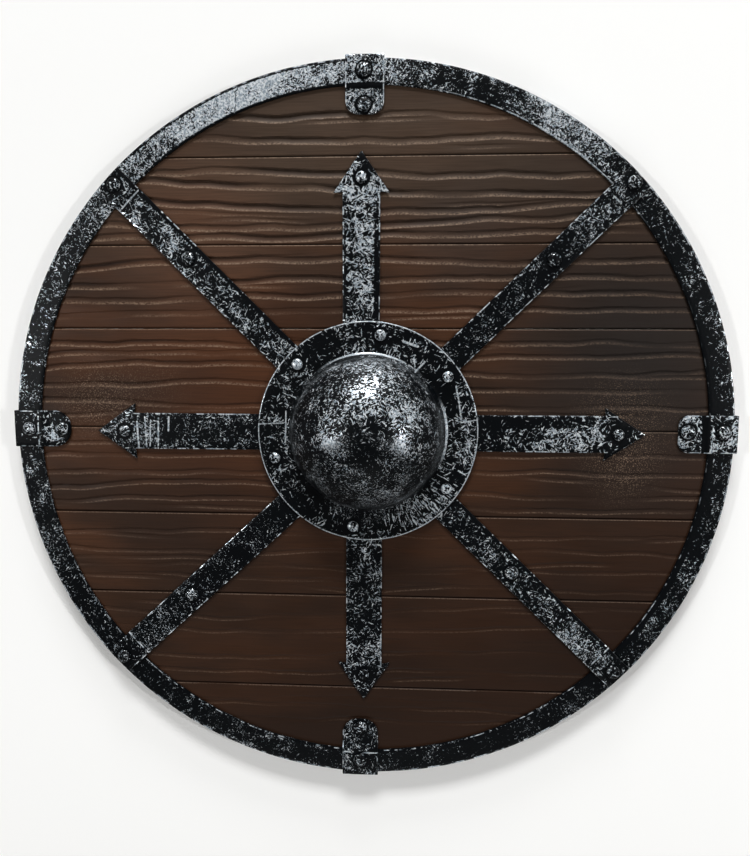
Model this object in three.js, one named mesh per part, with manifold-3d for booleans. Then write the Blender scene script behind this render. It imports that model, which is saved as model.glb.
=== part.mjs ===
// Wooden round shield: eight carved planks in an iron rim, a hollow iron boss over the
// hand hole, four arrow-headed straps, four diagonal straps and four clamps over the rim.
// It lies on its back, face up. +Y points to the top of the shield, and the origin is on
// the plane it lies on, under its centre. Sizes are in millimetres.
import * as THREE from 'three';
import { mergeVertices } from 'three/addons/utils/BufferGeometryUtils.js';
import Module from 'manifold-3d';

const wasm = await Module();
wasm.setup();

// Whole shield
const shieldRadius = 305;
const circleSides = 72;
const fitGap = 0.3;

// Planks. Their widths are shares of the radius of the wood, from the joint nearest the
// middle outwards, and the outermost plank takes what is left.
const plankThickness = 12;
const plankGap = 0.6;
const centreJoint = 4;
const plankSharesAbove = [0.28, 0.229, 0.234];
const plankSharesBelow = [0.247, 0.2375, 0.2755];

// Carved grain in the face of the planks. The bottom of a line lies off its middle by a
// share of its half width, and the land is the least flat left beside it.
const grooveWidth = 5.5;
const grooveDepth = 1.5;
const grooveLand = 0.3;
const grooveSkew = 0.33;
const grooveSteps = 10;

// Iron rim, a channel bent round the edge of the planks
const rimWidth = 21;
const rimSheet = 1.5;

// Boss
const bossCentre = { x: 0.6, y: 1.7 };
const bossSheet = 2;
const bossHeight = 60;
const bossSides = 38;
const neckRadius = 67;
const neckHeight = 8;
const neckLean = 4;
const domeSteps = 6;
const flangeWidth = 26.5;
const flangeRivetInset = 11.2;
const flangeRivetAngles = [35, 82.5, 136, 196, 261.5, 325];

// Hand hole, and the grip across it, let into the backs of the planks
const handHoleInset = 9;
const handHoleSides = 32;
const gripTurn = 82;
const gripLength = 200;
const tongueThickness = 6;
const tongueWidth = 30;
const handleThickness = 24;
const handleWidth = 25;
const handleSwell = 2;
const handleRounding = 7;
const handleSlope = 12;
const handleClearance = 4;

// Straps and clamps, cut from one thickness of iron sheet
const strapSheet = 2;
const strapTuck = 8;
const strapStray = 5;
const arrowWidth = 31;
const arrowHeadWidth = 46;
const arrowHeadLength = 34;
const arrowBarbSweep = 1.5;
const arrowTipGap = 24;
const arrowTipRivet = 22;
const arrowRootRivet = 9;
const diagonalWidth = 25;
const diagonalInset = 1.5;
const diagonalOuterRivet = 9;
const clampWidth = 31.5;
const clampLength = 46;
const clampCorner = 12;
const clampLegRise = 1.5;
const clampBend = 1.5;
const clampInnerRivet = 7.5;
const clampOuterRivet = 11;
const joggleRun = 4;
const joggleClearance = 2;

// Rivets
const shankRadius = 2.5;
const shankSides = 6;
const headSides = 8;
const headRise = 0.55;
const headShoulder = 0.74;
const flangeHeadRadius = 4.7;
const arrowHeadRadius = 4.8;
const rimHeadRadius = 5.8;
const rootHeadRadius = 2.6;
const rootShankRadius = 1.5;
const tailProud = 1.2;

// The straps are made and set by hand. Turn is the way one points, in degrees from +X,
// and the rest are shares: aside of the stray to the left of the shield's centre looking
// outwards, innerRivet of the shield's radius, rivetAside of the clamp's width, and the
// others of the lengths above.
const arrows = [
  { name: 'east', turn: 0, aside: 0.26, headWidth: 0.98, tipGap: 1.125, tipRivet: 1 },
  { name: 'north', turn: 90, aside: 0.96, headWidth: 1.02, tipGap: 1.165, tipRivet: 0.98 },
  { name: 'west', turn: 180, aside: -0.18, headWidth: 1.055, tipGap: 1, tipRivet: 1.09, rootRivet: 1 },
  { name: 'south', turn: 270, aside: -0.44, headWidth: 0.99, tipGap: 0.79, tipRivet: 1.07, rootRivet: 1 },
];
const clamps = [
  { name: 'east', turn: 0, aside: 0.44, length: 0.99, corner: 0.75, rivetAside: 0.06, outerRivet: 0.89 },
  { name: 'north', turn: 90, aside: 0.44, length: 0.957, corner: 0.92, rivetAside: 0.02, outerRivet: 0.94 },
  { name: 'west', turn: 180, aside: -0.44, length: 1.026, corner: 1.28, rivetAside: 0, outerRivet: 1.02 },
  { name: 'south', turn: 270, aside: -1.04, length: 1.072, corner: 1.12, rivetAside: 0, outerRivet: 1.14 },
];
const diagonals = [
  { name: 'northeast', turn: 44.2, aside: -0.62, width: 0.94, innerRivet: 0.69, outerRivet: 0.94 },
  { name: 'northwest', turn: 135.3, aside: 0.32, width: 1.02, innerRivet: 0.689, outerRivet: 1.03 },
  { name: 'southwest', turn: 222.7, aside: 0.24, width: 1.03, innerRivet: 0.693, outerRivet: 1 },
  { name: 'southeast', turn: 315.8, aside: 0.4, width: 0.975, innerRivet: 0.564, outerRivet: 1.05 },
];

// Each carved line is four shares of its plank's width, measured down from the plank's
// upper joint: at the left end, a third and two thirds of the way along, and the right end.
const carvingKnots = [-1, -1 / 3, 1 / 3, 1];
const carvedLines = [
  [[0.48, 0.58, 0.58, 0.66], [0.71, 0.84, 0.84, 0.87]],
  [[0.09, 0.18, 0.23, 0.25], [0.22, 0.33, 0.44, 0.37], [0.4, 0.58, 0.61, 0.51], [0.7, 0.82, 0.75, 0.64],
    [0.92, 0.92, 0.89, 0.84]],
  [[0.37, 0.18, 0.21, 0.15], [0.51, 0.44, 0.41, 0.4], [0.67, 0.62, 0.58, 0.63], [0.88, 0.8, 0.78, 0.8]],
  [[0.14, 0.15, 0.14, 0.15], [0.28, 0.25, 0.27, 0.26], [0.44, 0.36, 0.45, 0.37], [0.61, 0.55, 0.6, 0.6],
    [0.71, 0.79, 0.79, 0.78]],
  [[0.35, 0.31, 0.29, 0.28], [0.56, 0.51, 0.48, 0.52], [0.76, 0.66, 0.75, 0.73], [0.91, 0.84, 0.91, 0.88]],
  [[0.29, 0.23, 0.26, 0.18], [0.43, 0.49, 0.42, 0.46], [0.65, 0.67, 0.66, 0.67], [0.82, 0.8, 0.88, 0.88]],
  [[0.11, 0.26, 0.12, 0.13], [0.32, 0.42, 0.34, 0.3], [0.63, 0.69, 0.59, 0.65], [0.83, 0.86, 0.81, 0.87]],
  [[0.25, 0.24, 0.26, 0.31], [0.42, 0.42, 0.4, 0.39]],
];

// Heights above the plane the shield lies on
const plankBottom = rimSheet + fitGap;
const plankTop = plankBottom + plankThickness;
const rimTop = plankTop + fitGap + rimSheet;
const strapBottom = plankTop + fitGap;
const strapTop = strapBottom + strapSheet;
const raisedBottom = rimTop + fitGap;
const raisedTop = raisedBottom + strapSheet;
const flangeBottom = strapTop + fitGap;
const flangeTop = flangeBottom + bossSheet;
const domeTop = flangeTop + bossHeight;

// Radii that follow from the sizes above
const plankRadius = shieldRadius - rimSheet - fitGap;
const rimInner = shieldRadius - rimWidth;
const flangeRadius = neckRadius + flangeWidth;
const flangeRivetRadius = flangeRadius - flangeRivetInset;
const handHoleRadius = neckRadius - handHoleInset;

const wood = { color: 0x4b3022, roughness: 0.62, metalness: 0 };
const gripWood = { color: 0x3c281d, roughness: 0.7, metalness: 0 };
const iron = { color: 0x23272c, roughness: 0.42, metalness: 0.55 };
const rivetIron = { color: 0x3a3f45, roughness: 0.38, metalness: 0.65 };

const radians = THREE.MathUtils.degToRad;

// Solids

function signedVolume(positions, triangles) {
  const corner = (i) => new THREE.Vector3().fromArray(positions, 3 * i);
  return triangles.reduce((sum, [a, b, c]) => sum + corner(a).dot(corner(b).cross(corner(c))) / 6, 0);
}

// A closed geometry as a solid, whichever way round its outline was drawn
function solidOf(geometry) {
  const bare = new THREE.BufferGeometry();
  bare.setAttribute('position', geometry.getAttribute('position'));
  bare.setIndex(geometry.index);
  const merged = mergeVertices(bare);
  const positions = merged.getAttribute('position').array;
  const triangles = [];
  for (let i = 0; i < merged.index.count; i += 3) {
    const [a, b, c] = merged.index.array.slice(i, i + 3);
    if (a !== b && b !== c && c !== a) triangles.push([a, b, c]);
  }
  if (signedVolume(positions, triangles) < 0) triangles.forEach((corners) => corners.reverse());
  return new wasm.Manifold(new wasm.Mesh({
    numProp: 3,
    vertProperties: new Float32Array(positions),
    triVerts: new Uint32Array(triangles.flat()),
  }));
}

function pieceOf(name, solid, finish) {
  const { vertProperties, triVerts } = solid.getMesh();
  const geometry = new THREE.BufferGeometry();
  geometry.setAttribute('position', new THREE.BufferAttribute(new Float32Array(vertProperties), 3));
  geometry.setIndex(new THREE.BufferAttribute(new Uint32Array(triVerts), 1));
  const piece = new THREE.Mesh(geometry, new THREE.MeshStandardMaterial({ ...finish, flatShading: true }));
  piece.name = name;
  return piece;
}

function outline(points) {
  return new THREE.Shape(points.map(([x, y]) => new THREE.Vector2(x, y)));
}

function extruded(shape, depth) {
  return new THREE.ExtrudeGeometry(shape, { depth, bevelEnabled: false, curveSegments: 4 });
}

// A plan outline carried up from one height to another
function plate(shape, bottom, top) {
  return solidOf(extruded(shape, top - bottom).translate(0, 0, bottom));
}

// A side outline of distance and height, carried across a width about the middle line
function bar(shape, width) {
  return solidOf(extruded(shape, width).rotateX(Math.PI / 2).translate(0, width / 2, 0));
}

// An upright prism of equal sides
function post({ radius, sides, bottom, top, x = 0, y = 0, turn = 0 }) {
  const geometry = new THREE.CylinderGeometry(radius, radius, top - bottom, sides);
  geometry.rotateX(Math.PI / 2).rotateZ(radians(turn));
  return solidOf(geometry.translate(x, y, (top + bottom) / 2));
}

// A profile of radius and height, turned about the upright axis
function turned(profile, sides) {
  const points = profile.map(([radius, height]) => new THREE.Vector2(radius, height));
  return solidOf(new THREE.LatheGeometry(points, sides).rotateX(Math.PI / 2));
}

// Cross-sections of width and height, each at its own distance along, joined into one solid
function lofted(sections) {
  const count = sections[0].ring.length;
  const positions = sections.flatMap(({ along, ring }) => ring.flatMap(([y, z]) => [along, y, z]));
  const index = [];
  for (let j = 1; j < sections.length; j += 1) {
    for (let i = 0; i < count; i += 1) {
      const a = (j - 1) * count + i;
      const b = (j - 1) * count + (i + 1) % count;
      index.push(a, b, b + count, a, b + count, a + count);
    }
  }
  const cap = ({ ring }) => {
    const corners = ring.map(([y, z]) => new THREE.Vector2(y, z));
    return THREE.ShapeUtils.triangulateShape(corners, []);
  };
  const lastStart = (sections.length - 1) * count;
  cap(sections[0]).forEach(([a, b, c]) => index.push(c, b, a));
  cap(sections.at(-1)).forEach((face) => index.push(...face.map((i) => lastStart + i)));
  const geometry = new THREE.BufferGeometry();
  geometry.setAttribute('position', new THREE.BufferAttribute(new Float32Array(positions), 3));
  geometry.setIndex(index);
  return solidOf(geometry);
}

// Places

// Where a point so far along a strap and so far left of its middle line lies on the shield
function onShield(strap, along, left = 0) {
  const turn = radians(strap.turn);
  const across = strap.aside * strapStray + left;
  return {
    x: along * Math.cos(turn) - across * Math.sin(turn),
    y: along * Math.sin(turn) + across * Math.cos(turn),
  };
}

// A point of the shield in the strap's own frame
function onStrap(strap, { x, y }) {
  const turn = radians(strap.turn);
  return {
    x: x * Math.cos(turn) + y * Math.sin(turn),
    y: y * Math.cos(turn) - x * Math.sin(turn) - strap.aside * strapStray,
  };
}

// A piece's own frame is a place on the shield and a turn about the upright axis
const shieldFrame = { x: 0, y: 0, turn: 0 };
const bossFrame = { ...bossCentre, turn: 0 };
const gripFrame = { ...bossCentre, turn: gripTurn };
const strapFrame = (strap) => ({ ...onShield(strap, 0), turn: strap.turn });

function moved(solid, { x, y, turn }) {
  return solid.rotate([0, 0, turn]).translate([x, y, 0]);
}

function placed(piece, { x, y, turn }) {
  piece.position.set(x, y, 0);
  piece.rotation.z = radians(turn);
  return piece;
}

// The inner end of a strap, a little way under the boss's flange
function strapStart(strap) {
  return onStrap(strap, bossCentre).x + flangeRadius - strapTuck;
}

function clampEnd(clamp) {
  return shieldRadius - clamp.length * clampLength;
}

function arrowTip(arrow) {
  const clamp = clamps.find(({ name }) => name === arrow.name);
  return clampEnd(clamp) - arrow.tipGap * arrowTipGap;
}

// Rivets: where each stands, what its head sits on and where its shank ends

function flangeRivets() {
  return flangeRivetAngles.map((angle, i) => ({
    name: `boss_rivet_${i + 1}`,
    x: bossCentre.x + flangeRivetRadius * Math.cos(radians(angle)),
    y: bossCentre.y + flangeRivetRadius * Math.sin(radians(angle)),
    turn: 0,
    head: flangeHeadRadius,
    shank: shankRadius,
    seat: flangeTop,
    end: plankBottom - tailProud,
  }));
}

// A rivet through a strap, into the planks alone or flush with the back of the rim
function strapRivet(name, strap, along, { left = 0, head, shank = shankRadius, onRim = false }) {
  return {
    name,
    ...onShield(strap, along, left),
    turn: strap.turn,
    head,
    shank,
    seat: onRim ? raisedTop : strapTop,
    end: onRim ? fitGap : plankBottom - tailProud,
  };
}

function arrowRivets(arrow) {
  const along = arrowTip(arrow) - arrow.tipRivet * arrowTipRivet;
  const tipRivet = strapRivet(`arrow_rivet_${arrow.name}`, arrow, along, { head: arrowHeadRadius });
  if (!arrow.rootRivet) return [tipRivet];
  const root = strapStart(arrow) + strapTuck + arrow.rootRivet * arrowRootRivet;
  const size = { head: rootHeadRadius, shank: rootShankRadius };
  return [tipRivet, strapRivet(`arrow_root_rivet_${arrow.name}`, arrow, root, size)];
}

function clampRivets(clamp) {
  const size = { head: rimHeadRadius, left: clamp.rivetAside * clampWidth };
  const outer = shieldRadius - clamp.outerRivet * clampOuterRivet;
  const inner = clampEnd(clamp) + clampInnerRivet;
  return [
    strapRivet(`clamp_rivet_${clamp.name}_outer`, clamp, outer, { ...size, onRim: true }),
    strapRivet(`clamp_rivet_${clamp.name}_inner`, clamp, inner, size),
  ];
}

function diagonalRivets(strap) {
  const size = { head: rimHeadRadius };
  const outer = shieldRadius - strap.outerRivet * diagonalOuterRivet;
  const inner = shieldRadius * strap.innerRivet;
  return [
    strapRivet(`diagonal_rivet_${strap.name}_outer`, strap, outer, { ...size, onRim: true }),
    strapRivet(`diagonal_rivet_${strap.name}_inner`, strap, inner, size),
  ];
}

const rivets = [
  ...flangeRivets(),
  ...arrows.flatMap(arrowRivets),
  ...clamps.flatMap(clampRivets),
  ...diagonals.flatMap(diagonalRivets),
];

// The holes run on below the back and above the boss, clear of every face they cut
const rivetHoles = rivets.map((rivet) => post({
  ...rivet,
  radius: rivet.shank + fitGap,
  sides: shankSides,
  bottom: -fitGap,
  top: domeTop,
}));

// Takes every rivet's hole out of a piece that is drawn in its own frame
function drilled(solid, frame) {
  const cut = rivetHoles.reduce((left, hole) => left.subtract(hole), moved(solid, frame));
  return cut.translate([-frame.x, -frame.y, 0]).rotate([0, 0, -frame.turn]);
}

// A domed head on a shank
function makeRivet(rivet) {
  const { head, shank } = rivet;
  const bottom = rivet.seat + fitGap;
  const rise = head * headRise;
  const shoulder = [head * headShoulder, bottom + rise * headShoulder];
  const dome = turned([[0, bottom], [head, bottom], shoulder, [0, bottom + rise]], headSides);
  const pin = post({ radius: shank, sides: shankSides, bottom: rivet.end, top: bottom + rise / 2 });
  return placed(pieceOf(rivet.name, dome.add(pin), rivetIron), rivet);
}

// Planks

// A smooth line through its four values
function lineAt(values, along) {
  return values.reduce((sum, value, i) => {
    const others = carvingKnots.filter((knot) => knot !== carvingKnots[i]);
    return sum + others.reduce((term, knot) => term * (along - knot) / (carvingKnots[i] - knot), value);
  }, 0);
}

// The cross-section of a plank, with each carved line a skewed V in its face, narrower
// where its neighbours leave less room
function plankSection(low, high, lines, along) {
  const middles = lines.map((line) => high - lineAt(line, along) * (high - low));
  const neighbours = [high, ...middles, low];
  const grooves = middles.flatMap((middle, i) => {
    const room = Math.min(neighbours[i] - middle, middle - neighbours[i + 2]) - grooveLand;
    const half = Math.min(grooveWidth, room) / 2;
    return [[middle + half, plankTop], [middle + half * grooveSkew, plankTop - grooveDepth],
      [middle - half, plankTop]];
  });
  return [[low, plankBottom], [high, plankBottom], [high, plankTop], ...grooves, [low, plankTop]];
}

function plankBlank(low, high, lines) {
  const nearest = low * high < 0 ? 0 : Math.min(Math.abs(low), Math.abs(high));
  const halfLength = Math.sqrt(plankRadius ** 2 - nearest ** 2) + fitGap;
  const sections = [];
  for (let step = 0; step <= grooveSteps; step += 1) {
    const along = 2 * step / grooveSteps - 1;
    sections.push({ along: along * halfLength, ring: plankSection(low, high, lines, along) });
  }
  return lofted(sections);
}

// The heights of the joints, from the top edge of the shield to the bottom edge
function plankJoints() {
  const joints = [centreJoint];
  plankSharesAbove.forEach((share) => joints.unshift(joints[0] + share * plankRadius));
  plankSharesBelow.forEach((share) => joints.push(joints.at(-1) - share * plankRadius));
  return [plankRadius, ...joints, -plankRadius];
}

function makePlanks() {
  const joints = plankJoints();
  const disc = post({ radius: plankRadius, sides: circleSides, bottom: 0, top: rimTop });
  const hole = post({ ...bossCentre, radius: handHoleRadius, sides: handHoleSides, bottom: 0, top: rimTop });
  const pocket = moved(gripPocket(), gripFrame);
  return carvedLines.map((lines, i) => {
    const low = joints[i + 1] + plankGap / 2;
    const high = joints[i] - plankGap / 2;
    const cut = plankBlank(low, high, lines).intersect(disc).subtract(hole).subtract(pocket);
    return pieceOf(`plank_${i + 1}`, drilled(cut, shieldFrame), wood);
  });
}

// Grip

// A flat section with its four corners cut off
function gripSection(along, width, thickness, rounding) {
  const [side, top] = [width / 2, plankBottom + thickness];
  const ring = [
    [-side + rounding, plankBottom], [side - rounding, plankBottom], [side, plankBottom + rounding],
    [side, top - rounding], [side - rounding, top], [-side + rounding, top],
    [-side, top - rounding], [-side, plankBottom + rounding],
  ];
  return { along, ring };
}

function makeGrip() {
  const tongue = [tongueWidth, tongueThickness, fitGap];
  const handle = [handleWidth, handleThickness, handleRounding];
  const slopeEnd = handHoleRadius - handleClearance;
  const half = [
    gripSection(gripLength / 2, ...tongue),
    gripSection(slopeEnd, ...tongue),
    gripSection(slopeEnd - handleSlope, ...handle),
  ];
  const middle = gripSection(0, handleWidth + handleSwell, handleThickness + handleSwell, handleRounding);
  const mirrored = half.map(({ along, ring }) => ({ along: -along, ring }));
  const solid = lofted([...mirrored, middle, ...half.reverse()]);
  return placed(pieceOf('grip', drilled(solid, gripFrame), gripWood), gripFrame);
}

// The hollow in the backs of the planks that the tongues lie in
function gripPocket() {
  const reach = gripLength / 2 + fitGap;
  const side = tongueWidth / 2 + fitGap;
  const shape = outline([[-reach, -side], [reach, -side], [reach, side], [-reach, side]]);
  return plate(shape, 0, plankBottom + tongueThickness + fitGap);
}

// Ironwork

function makeRim() {
  const profile = [
    [shieldRadius, 0], [shieldRadius, rimTop], [rimInner, rimTop], [rimInner, rimTop - rimSheet],
    [shieldRadius - rimSheet, rimTop - rimSheet], [shieldRadius - rimSheet, rimSheet],
    [rimInner, rimSheet], [rimInner, 0], [shieldRadius, 0],
  ];
  return pieceOf('rim', drilled(turned(profile, circleSides), shieldFrame), iron);
}

// The boss is one sheet: a flat flange, a short leaning neck and a dome
function makeBoss() {
  const domeRadius = neckRadius - neckLean;
  const neckTop = flangeTop + neckHeight;
  const domeRise = bossHeight - neckHeight;
  const arc = (inset) => Array.from({ length: domeSteps + 1 }, (_, step) => {
    const angle = Math.PI / 2 * step / domeSteps;
    const radius = step === domeSteps ? 0 : (domeRadius - inset) * Math.cos(angle);
    return [radius, neckTop + (domeRise - inset) * Math.sin(angle)];
  });
  const profile = [
    ...arc(bossSheet).reverse(), [neckRadius - bossSheet, flangeBottom], [flangeRadius, flangeBottom],
    [flangeRadius, flangeTop], [neckRadius, flangeTop], ...arc(0),
  ];
  return placed(pieceOf('boss', drilled(turned(profile, bossSides), bossFrame), iron), bossFrame);
}

function makeArrow(arrow) {
  const start = strapStart(arrow);
  const tip = arrowTip(arrow);
  const barb = tip - arrowHeadLength;
  const shaft = arrowWidth / 2;
  const head = arrow.headWidth * arrowHeadWidth / 2;
  const shape = outline([
    [start, -shaft], [barb + arrowBarbSweep, -shaft], [barb, -head], [tip, 0],
    [barb, head], [barb + arrowBarbSweep, shaft], [start, shaft],
  ]);
  const frame = strapFrame(arrow);
  const solid = drilled(plate(shape, strapBottom, strapTop), frame);
  return placed(pieceOf(`arrow_strap_${arrow.name}`, solid, iron), frame);
}

// Side outline of a strap that steps up from the planks onto the rim. The points past
// the step, on the upper and the lower side, are given from the inside outwards.
function steppedOutline(start, upperEnd, lowerEnd) {
  const stepEnd = rimInner - joggleClearance;
  const stepStart = stepEnd - joggleRun;
  const shift = strapSheet * (raisedBottom - strapBottom) / joggleRun / 2;
  return outline([
    [start, strapBottom], [stepStart, strapBottom], [stepEnd, raisedBottom], ...lowerEnd,
    ...upperEnd.reverse(), [stepEnd - shift, raisedTop], [stepStart - shift, strapTop], [start, strapTop],
  ]);
}

function makeDiagonal(strap) {
  const upper = [[shieldRadius, raisedTop]];
  const lower = [[shieldRadius, raisedBottom]];
  const shape = steppedOutline(strapStart(strap), upper, lower);
  const reach = { radius: shieldRadius - diagonalInset, sides: circleSides, bottom: 0, top: domeTop };
  const disc = post({ ...reach, y: -strap.aside * strapStray, turn: -strap.turn });
  const frame = strapFrame(strap);
  const solid = drilled(bar(shape, strap.width * diagonalWidth).intersect(disc), frame);
  return placed(pieceOf(`diagonal_strap_${strap.name}`, solid, iron), frame);
}

// A clamp's plan: square at the rim, with its inner corners rounded
function clampPlan(clamp) {
  const end = clampEnd(clamp);
  const outer = shieldRadius + fitGap + strapSheet;
  const side = clampWidth / 2;
  const corner = Math.min(clamp.corner * clampCorner, side);
  const shape = new THREE.Shape();
  shape.moveTo(outer, -side).lineTo(outer, side).lineTo(end + corner, side);
  shape.absarc(end + corner, side - corner, corner, Math.PI / 2, Math.PI, false);
  shape.absarc(end + corner, corner - side, corner, Math.PI, Math.PI * 3 / 2, false);
  return shape;
}

function makeClamp(clamp) {
  const inside = shieldRadius + fitGap;
  const outside = inside + strapSheet;
  const upper = [[outside - clampBend, raisedTop], [outside, raisedTop - clampBend], [outside, clampLegRise]];
  const lower = [[inside, raisedBottom], [inside, clampLegRise]];
  const side = bar(steppedOutline(clampEnd(clamp), upper, lower), clampWidth);
  const frame = strapFrame(clamp);
  const solid = drilled(side.intersect(plate(clampPlan(clamp), 0, domeTop)), frame);
  return placed(pieceOf(`clamp_${clamp.name}`, solid, iron), frame);
}

const shield = new THREE.Group();
shield.add(...makePlanks(), makeGrip(), makeRim(), makeBoss());
shield.add(...arrows.map(makeArrow), ...diagonals.map(makeDiagonal), ...clamps.map(makeClamp));
shield.add(...rivets.map(makeRivet));

export default shield;
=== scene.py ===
# %% [markdown]
# # A wooden round shield with painted ironwork
#
# Eight carved planks lie side by side in an iron rim. A domed boss covers the hand hole,
# straps run out from under its flange, and domed rivets go through everything. The frame
# gives every piece its place, so the finer pieces made here sit exactly on the plain ones.

# %% Load the frame
import math
import random

import bmesh
import bpy
import numpy as np
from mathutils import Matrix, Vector, noise


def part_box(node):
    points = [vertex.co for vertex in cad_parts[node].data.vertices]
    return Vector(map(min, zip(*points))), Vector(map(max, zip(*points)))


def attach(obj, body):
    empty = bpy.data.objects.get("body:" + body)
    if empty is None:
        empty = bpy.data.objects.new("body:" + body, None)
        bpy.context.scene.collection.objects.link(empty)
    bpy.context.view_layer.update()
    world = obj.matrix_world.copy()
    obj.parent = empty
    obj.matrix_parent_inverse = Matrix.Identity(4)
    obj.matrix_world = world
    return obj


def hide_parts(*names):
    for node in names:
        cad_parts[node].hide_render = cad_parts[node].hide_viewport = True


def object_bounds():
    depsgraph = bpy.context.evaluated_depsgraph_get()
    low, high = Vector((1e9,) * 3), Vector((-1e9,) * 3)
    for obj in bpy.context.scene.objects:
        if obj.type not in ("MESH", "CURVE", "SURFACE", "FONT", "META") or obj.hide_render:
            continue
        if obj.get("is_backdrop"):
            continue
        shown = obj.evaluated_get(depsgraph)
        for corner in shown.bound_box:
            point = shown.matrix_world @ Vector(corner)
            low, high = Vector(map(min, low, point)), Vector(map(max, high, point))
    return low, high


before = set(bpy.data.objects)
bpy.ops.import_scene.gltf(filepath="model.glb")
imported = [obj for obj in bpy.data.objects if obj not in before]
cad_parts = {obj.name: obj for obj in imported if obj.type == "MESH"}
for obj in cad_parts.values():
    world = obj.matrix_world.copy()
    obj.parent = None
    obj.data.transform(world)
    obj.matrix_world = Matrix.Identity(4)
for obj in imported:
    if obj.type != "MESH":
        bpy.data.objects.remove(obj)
cad_low, cad_high = (list(corner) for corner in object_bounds())
print("frame:", len(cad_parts), "nodes, size", [round(b - a, 4) for a, b in zip(cad_low, cad_high)])

# %% [markdown]
# Blender works in metres and the shield was drawn in millimetres, so every length below is
# a number of millimetres times `MM`. These are the sizes of the drawing that more than one
# piece needs. `NEAR` is how close two places are to count as the same.

# %% Sizes shared by the pieces
MM = 0.001
SHIELD_RADIUS = 305 * MM
RIM_WIDTH = 21 * MM
RIM_SHEET = 1.5 * MM
FIT_GAP = 0.3 * MM
STRAP_SHEET = 2 * MM
BOSS_SHEET = 2 * MM
PLANK_RADIUS = SHIELD_RADIUS - RIM_SHEET - FIT_GAP
NEAR = 0.1 * MM

boss_low, boss_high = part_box("boss")
BOSS_CENTRE = Vector((0.6, 1.7, 0)) * MM
FLANGE_RADIUS = 93.5 * MM
NECK_RADIUS = 67 * MM
HAND_HOLE_RADIUS = 58 * MM

plank_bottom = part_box("plank_1")[0].z
plank_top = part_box("plank_1")[1].z
rim_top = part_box("rim")[1].z
strap_bottom, strap_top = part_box("arrow_strap_north")[0].z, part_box("arrow_strap_north")[1].z
raised_bottom = rim_top + FIT_GAP
raised_top = raised_bottom + STRAP_SHEET
flange_bottom, dome_top = boss_low.z, boss_high.z
flange_top = flange_bottom + BOSS_SHEET
heights = (plank_top, rim_top, strap_top, raised_top, flange_top, dome_top)
print("heights in mm:", [round(height / MM, 1) for height in heights])

# %% [markdown]
# Each piece is started from a primitive and then shaped in edit mode, as by hand. A few
# small helpers do what a hand does with the mouse: take hold of a piece, pick its faces or
# edges by where they are, and let go again. A CAD node's mesh is never touched.

# %% Helpers for edit mode
def only(piece):
    bpy.ops.object.select_all(action="DESELECT")
    piece.select_set(True)
    bpy.context.view_layer.objects.active = piece


def settle(piece, turn=0, place=(0, 0, 0)):
    """Turns and moves a piece, and puts that into its mesh."""
    piece.rotation_euler.z += turn
    piece.location += Vector(place)
    only(piece)
    bpy.ops.object.transform_apply(location=True, rotation=True, scale=True)


def new_piece(name):
    piece = bpy.context.object
    piece.name = piece.data.name = name
    settle(piece)
    return piece


def edit(piece):
    only(piece)
    bpy.ops.object.mode_set(mode="EDIT")
    bpy.ops.mesh.select_mode(type="FACE")
    bpy.ops.mesh.select_all(action="SELECT")


def done():
    bpy.ops.object.mode_set(mode="OBJECT")


def pick(piece, kind, wanted):
    bpy.ops.mesh.select_mode(type=kind)
    bpy.ops.mesh.select_all(action="DESELECT")
    mesh = bmesh.from_edit_mesh(piece.data)
    mesh.normal_update()
    for part in {"VERT": mesh.verts, "EDGE": mesh.edges, "FACE": mesh.faces}[kind]:
        if wanted(part):
            part.select_set(True)
    bmesh.update_edit_mesh(piece.data)


def middle(part):
    return sum((v.co for v in part.verts), Vector()) / len(part.verts)


def run_of(edge):
    return edge.verts[1].co - edge.verts[0].co


def extrude(by):
    bpy.ops.mesh.extrude_region_move(TRANSFORM_OT_translate={"value": by})


def bisect(where, direction):
    bpy.ops.mesh.select_all(action="SELECT")
    bpy.ops.mesh.bisect(plane_co=where, plane_no=direction)


def modify(piece, kind, **settings):
    only(piece)
    modifier = piece.modifiers.new(kind.title(), kind)
    for name, value in settings.items():
        setattr(modifier, name, value)
    bpy.ops.object.modifier_apply(modifier=modifier.name)


def face_outwards(piece):
    edit(piece)
    bpy.ops.mesh.remove_doubles(threshold=0.002 * MM)
    bpy.ops.mesh.select_mode(type="EDGE")
    bpy.ops.mesh.delete_loose()
    bpy.ops.mesh.select_all(action="SELECT")
    bpy.ops.mesh.normals_make_consistent(inside=False)
    done()


def smooth(piece, degrees=40):
    only(piece)
    bpy.ops.object.shade_smooth_by_angle(angle=math.radians(degrees))


def points_of(piece):
    flat = np.empty(3 * len(piece.data.vertices))
    piece.data.vertices.foreach_get("co", flat)
    return flat.reshape(-1, 3)


def set_points(piece, points):
    piece.data.vertices.foreach_set("co", np.ascontiguousarray(points).ravel())
    piece.data.update()


# %% [markdown]
# Hammered and cast iron is never quite flat. `ruffle` moves every corner of a mesh a little
# way in or out along its normal, by a soft noise whose lumps have a real size.

# %% Uneven surfaces
def ruffle(piece, height, lump):
    normals = [v.normal.copy() for v in piece.data.vertices]
    for vertex, normal in zip(piece.data.vertices, normals):
        lift = noise.noise(vertex.co / lump) + 0.4 * noise.noise(vertex.co / (0.4 * lump))
        vertex.co += normal * height * lift
    piece.data.update()


def finish_piece(piece, node, material):
    set_points(piece, np.clip(points_of(piece), cad_low, cad_high))
    piece.data.materials.clear()
    piece.data.materials.append(material)
    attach(piece, "root")
    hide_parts(node)


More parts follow.
